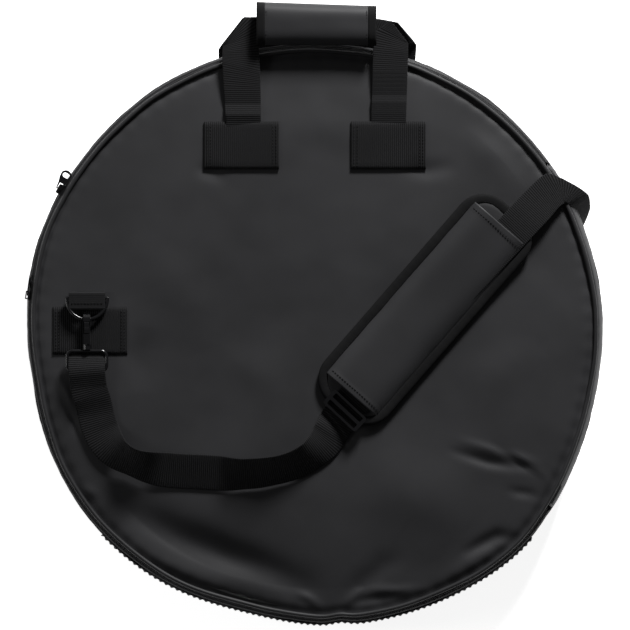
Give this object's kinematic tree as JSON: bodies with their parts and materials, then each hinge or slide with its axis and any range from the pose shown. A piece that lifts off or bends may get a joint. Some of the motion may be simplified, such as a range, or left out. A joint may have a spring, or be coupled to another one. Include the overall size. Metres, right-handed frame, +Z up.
{
  "type": "cymbal bag",
  "caption": "Round padded zip-round instrument bag with webbing handles, padded grip, detachable shoulder strap on snap hooks, sliding shoulder pad, divider and ribbed scuff guard.",
  "frame": {"origin": "middle of the flat part of the back panel, on the surface the bag lies on", "axes": "+Z up through the bag from back panel to front panel, +Y towards the carry handle, +X towards the zip-free spine"},
  "size_m": [0.6064, 0.6546, 0.0872],
  "materials": {
    "shell": "charcoal coated woven fabric, fine grain, soft sheen",
    "foam": "closed-cell foam padding",
    "lining": "brushed knit lining",
    "webbing": "black ribbed polypropylene webbing",
    "piping": "black vinyl piping",
    "binding": "black woven edge binding",
    "vinyl": "smooth black vinyl",
    "guard": "ribbed black rubber",
    "zip_tape": "black woven zip tape",
    "zip_coil": "black nylon coil",
    "black_metal": "black painted cast metal, slightly glossy",
    "hook_loop": "black hook and loop tape"
  },
  "bodies": {
    "base": {"back_panel": "shell", "back_padding": "foam", "back_lining": "lining", "back_piping": "piping", "spine_panel": "shell", "spine_padding": "foam", "spine_lining": "lining", "spine_piping": "piping", "gusset_panel": "shell", "gusset_padding": "foam", "gusset_lining": "lining", "spine_gusset": "shell", "bottom_guard": "guard", "zipper_tape_base": "zip_tape", "zipper_teeth_base": "zip_coil", "zipper_end_tabs": "vinyl", "rear_patches": "webbing", "rear_tails": "webbing", "rear_ring_patch": "webbing", "rear_ring_tab": "webbing", "strap_side": "webbing", "strap_under": "webbing"},
    "lid": {"front_panel": "shell", "front_padding": "foam", "front_lining": "lining", "front_piping": "piping", "zipper_teeth_lid": "zip_coil", "zipper_tape_lid": "zip_tape", "front_patches": "webbing", "front_tails": "webbing", "front_ring_patch": "webbing", "front_ring_tab": "webbing", "strap_lower": "webbing", "strap_run": "webbing"},
    "divider": {"divider": "lining"},
    "front_handle": {"front_handle_webbing": "webbing", "grip_wrap": "vinyl", "grip_padding": "foam", "grip_loop_strip": "hook_loop"},
    "grip_flap": {"grip_hook_strip": "hook_loop", "grip_flap": "vinyl", "grip_bindings": "binding"},
    "rear_handle": {"rear_handle_webbing": "webbing"},
    "front_ring": {"front_d_ring": "black_metal", "front_hook_body": "black_metal"},
    "front_gate": {"front_hook_gate": "black_metal"},
    "front_eye": {"front_swivel_eye": "black_metal"},
    "rear_ring": {"rear_d_ring": "black_metal", "rear_hook_body": "black_metal"},
    "rear_gate": {"rear_hook_gate": "black_metal"},
    "rear_eye": {"rear_swivel_eye": "black_metal"},
    "slider_a": {"slider_a": "black_metal"},
    "pull_a": {"pull_a": "black_metal"},
    "slider_b": {"slider_b": "black_metal"},
    "pull_b": {"pull_b": "black_metal"},
    "tri_glide": {"tri_glide": "black_metal"},
    "shoulder_pad": {"pad_backing": "binding", "pad_foam": "foam", "pad_face": "vinyl", "pad_binding": "binding"}
  },
  "joints": [
    {"name": "lid_open", "type": "hinge", "parent": "base", "child": "lid", "pos_m": [0.241, 0, 0.0684], "axis": [0, 1, 0], "range_deg": [0, 90]},
    {"name": "divider_turn", "type": "hinge", "parent": "base", "child": "divider", "pos_m": [0.229, 0, 0.037], "axis": [0, 1, 0], "range_deg": [0, 50]},
    {"name": "front_handle_lift", "type": "hinge", "parent": "lid", "child": "front_handle", "pos_m": [0, 0.2245, 0.0732], "axis": [1, 0, 0], "range_deg": [0, 160]},
    {"name": "grip_flap_open", "type": "hinge", "parent": "front_handle", "child": "grip_flap", "pos_m": [0, 0.347, 0.0836], "axis": [-1, 0, 0], "range_deg": [0, 150]},
    {"name": "rear_handle_drop", "type": "hinge", "parent": "base", "child": "rear_handle", "pos_m": [0, 0.304, 0.0155], "axis": [-1, 0, 0], "range_deg": [0, 60]},
    {"name": "front_ring_swing", "type": "hinge", "parent": "lid", "child": "front_ring", "pos_m": [-0.238, 0.039, 0.0734], "axis": [-1, 0, 0], "range_deg": [0, 35]},
    {"name": "front_gate_open", "type": "hinge", "parent": "front_ring", "child": "front_gate", "pos_m": [-0.238, 0.0031, 0.08], "axis": [-1, 0, 0], "range_deg": [0, 18], "stiffness_Nm_per_rad": 0.02},
    {"name": "front_hook_swivel", "type": "hinge", "parent": "front_ring", "child": "front_eye", "pos_m": [-0.238, -0.009, 0.0764], "axis": [0, 1, 0], "range_deg": [-10, 10]},
    {"name": "rear_ring_swing", "type": "hinge", "parent": "base", "child": "rear_ring", "pos_m": [0.25, -0.002, 0.00835], "axis": [-1, 0, 0], "range_deg": [0, 20]},
    {"name": "rear_gate_open", "type": "hinge", "parent": "rear_ring", "child": "rear_gate", "pos_m": [0.25, 0.0339, 0.00175], "axis": [-1, 0, 0], "range_deg": [0, 18], "stiffness_Nm_per_rad": 0.02},
    {"name": "rear_hook_swivel", "type": "hinge", "parent": "rear_ring", "child": "rear_eye", "pos_m": [0.25, 0.046, 0.00535], "axis": [0, 1, 0], "range_deg": [-5, 5]},
    {"name": "slider_a_travel", "type": "hinge", "parent": "base", "child": "slider_a", "pos_m": [0, 0, 0.055], "axis": [0, 0, 1], "range_deg": [-105, 12]},
    {"name": "slider_b_travel", "type": "hinge", "parent": "base", "child": "slider_b", "pos_m": [0, 0, 0.055], "axis": [0, 0, 1], "range_deg": [-2, 144]},
    {"name": "pull_a_flip", "type": "hinge", "parent": "slider_a", "child": "pull_a", "pos_m": [-0.26727, 0.15307, 0.0607], "axis": [0.8678, -0.497, 0], "range_deg": [0, 165]},
    {"name": "pull_b_flip", "type": "hinge", "parent": "slider_b", "child": "pull_b", "pos_m": [-0.30084, 0.04228, 0.0564], "axis": [0, 0, 1], "range_deg": [0, 165]},
    {"name": "tri_glide_slide", "type": "slide", "parent": "lid", "child": "tri_glide", "axis": [-0.6833, -0.7302, 0], "range_m": [0, 0.006]},
    {"name": "pad_slide", "type": "slide", "parent": "lid", "child": "shoulder_pad", "axis": [0.6561, 0.7547, 0], "range_m": [0, 0.006]}
  ],
  "couplings": [
    {"joint": "divider_turn", "follows": "lid_open", "ratio": 0.5}
  ]
}
